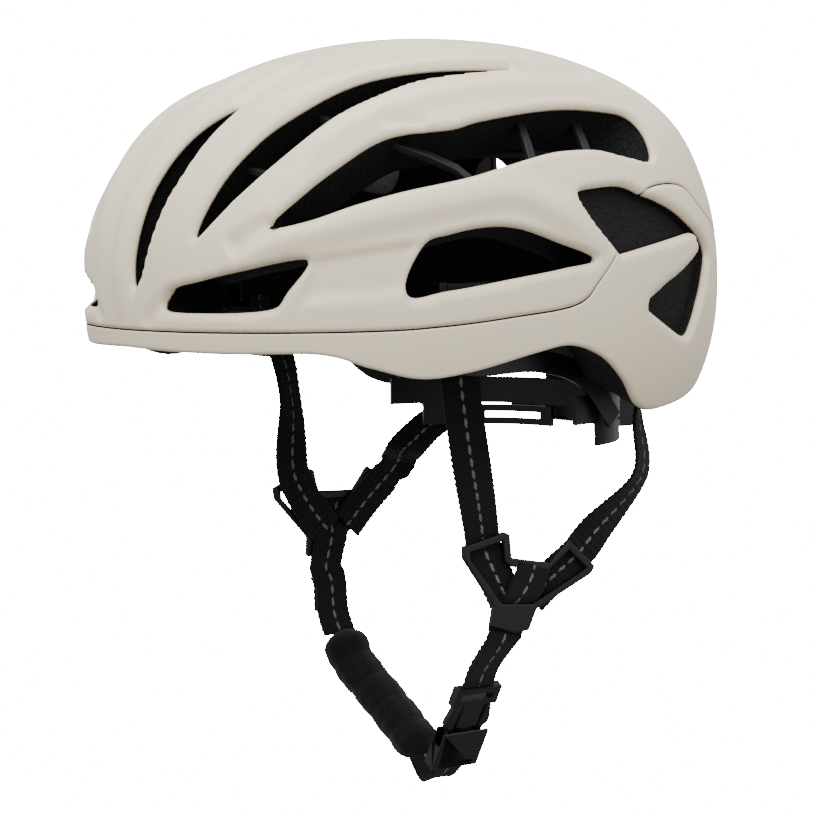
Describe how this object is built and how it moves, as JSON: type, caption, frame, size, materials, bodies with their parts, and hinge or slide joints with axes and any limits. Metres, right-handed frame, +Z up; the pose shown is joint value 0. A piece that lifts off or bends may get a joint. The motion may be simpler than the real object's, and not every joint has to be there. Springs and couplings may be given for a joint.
{
  "type": "cycling helmet",
  "caption": "Vented road cycling helmet with thin outer shells over a foam liner, a rear fit dial on a sliding cradle, and a chin strap harness with a side-release buckle.",
  "frame": {"origin": "middle of the head opening, level with the brim's lower edge at the front", "axes": "+Z up towards the crown, -Y towards the brow, +X towards the rider's left"},
  "size_m": [0.2118, 0.2823, 0.3175],
  "materials": {
    "shell": "satin cream paint on polycarbonate",
    "foam": "moulded bead foam",
    "padding": "brushed fabric over foam",
    "webbing": "woven webbing with grey dashes",
    "black_plastic": "moulded satin",
    "grey_plastic": "moulded satin"
  },
  "bodies": {
    "helmet": {"eps_liner": "foam", "upper_shell": "shell", "lower_shell": "shell", "brow_arch": "grey_plastic", "front_arch": "grey_plastic", "middle_arch": "grey_plastic", "rear_arch": "grey_plastic", "brow_pad": "padding", "crown_pad": "padding", "left_side_pad": "padding", "right_side_pad": "padding", "height_strip": "grey_plastic", "strip_plate": "black_plastic", "buckle_male": "black_plastic", "left_front_anchor": "black_plastic", "left_rear_anchor": "black_plastic", "left_front_strap": "webbing", "left_rear_strap": "webbing", "left_lower_strap": "webbing", "left_strap_tail": "webbing", "left_splitter": "black_plastic", "left_temple_band": "black_plastic", "left_band_stud": "black_plastic", "right_front_anchor": "black_plastic", "right_rear_anchor": "black_plastic", "right_front_strap": "webbing", "right_rear_strap": "webbing", "right_lower_strap": "webbing", "right_strap_tail": "webbing", "right_splitter": "black_plastic", "right_temple_band": "black_plastic", "right_band_stud": "black_plastic"},
    "cradle": {"cradle": "black_plastic", "dial_housing": "black_plastic", "housing_cover": "black_plastic"},
    "dial": {"dial_knob": "black_plastic", "pinion": "grey_plastic"},
    "left_rack": {"left_rack": "grey_plastic"},
    "right_rack": {"right_rack": "grey_plastic"},
    "left_prong": {"left_prong": "black_plastic"},
    "right_prong": {"right_prong": "black_plastic"},
    "socket": {"buckle_socket": "black_plastic", "chin_loop": "webbing", "chin_pad": "padding"}
  },
  "joints": [
    {"name": "cradle_height", "type": "slide", "parent": "helmet", "child": "cradle", "axis": [0, 0, 1], "range_m": [-0.01, 0.004]},
    {"name": "dial_turn", "type": "hinge", "parent": "cradle", "child": "dial", "pos_m": [0, 0.11, -0.03], "axis": [0, 1, 0], "range_deg": [-96, 48]},
    {"name": "left_rack_slide", "type": "slide", "parent": "cradle", "child": "left_rack", "axis": [1, 0, 0], "range_m": [-0.0081, 0.0041]},
    {"name": "right_rack_slide", "type": "slide", "parent": "cradle", "child": "right_rack", "axis": [-1, 0, 0], "range_m": [-0.0081, 0.0041]},
    {"name": "left_prong_squeeze", "type": "hinge", "parent": "helmet", "child": "left_prong", "pos_m": [0.03403, 0.01564, -0.15595], "axis": [0.8944, 0, -0.4472], "range_deg": [-6, 0], "stiffness_Nm_per_rad": 0.7},
    {"name": "right_prong_squeeze", "type": "hinge", "parent": "helmet", "child": "right_prong", "pos_m": [0.03426, -0.00135, -0.15549], "axis": [0.8944, 0, -0.4472], "range_deg": [0, 6], "stiffness_Nm_per_rad": 0.7},
    {"name": "buckle_release", "type": "slide", "parent": "helmet", "child": "socket", "axis": [-0.447, -0.03, -0.894], "range_m": [0, 0.018]}
  ],
  "couplings": [
    {"joint": "left_rack_slide", "follows": "dial_turn", "m_per_rad": 0.0048},
    {"joint": "right_rack_slide", "follows": "dial_turn", "m_per_rad": 0.0048}
  ]
}
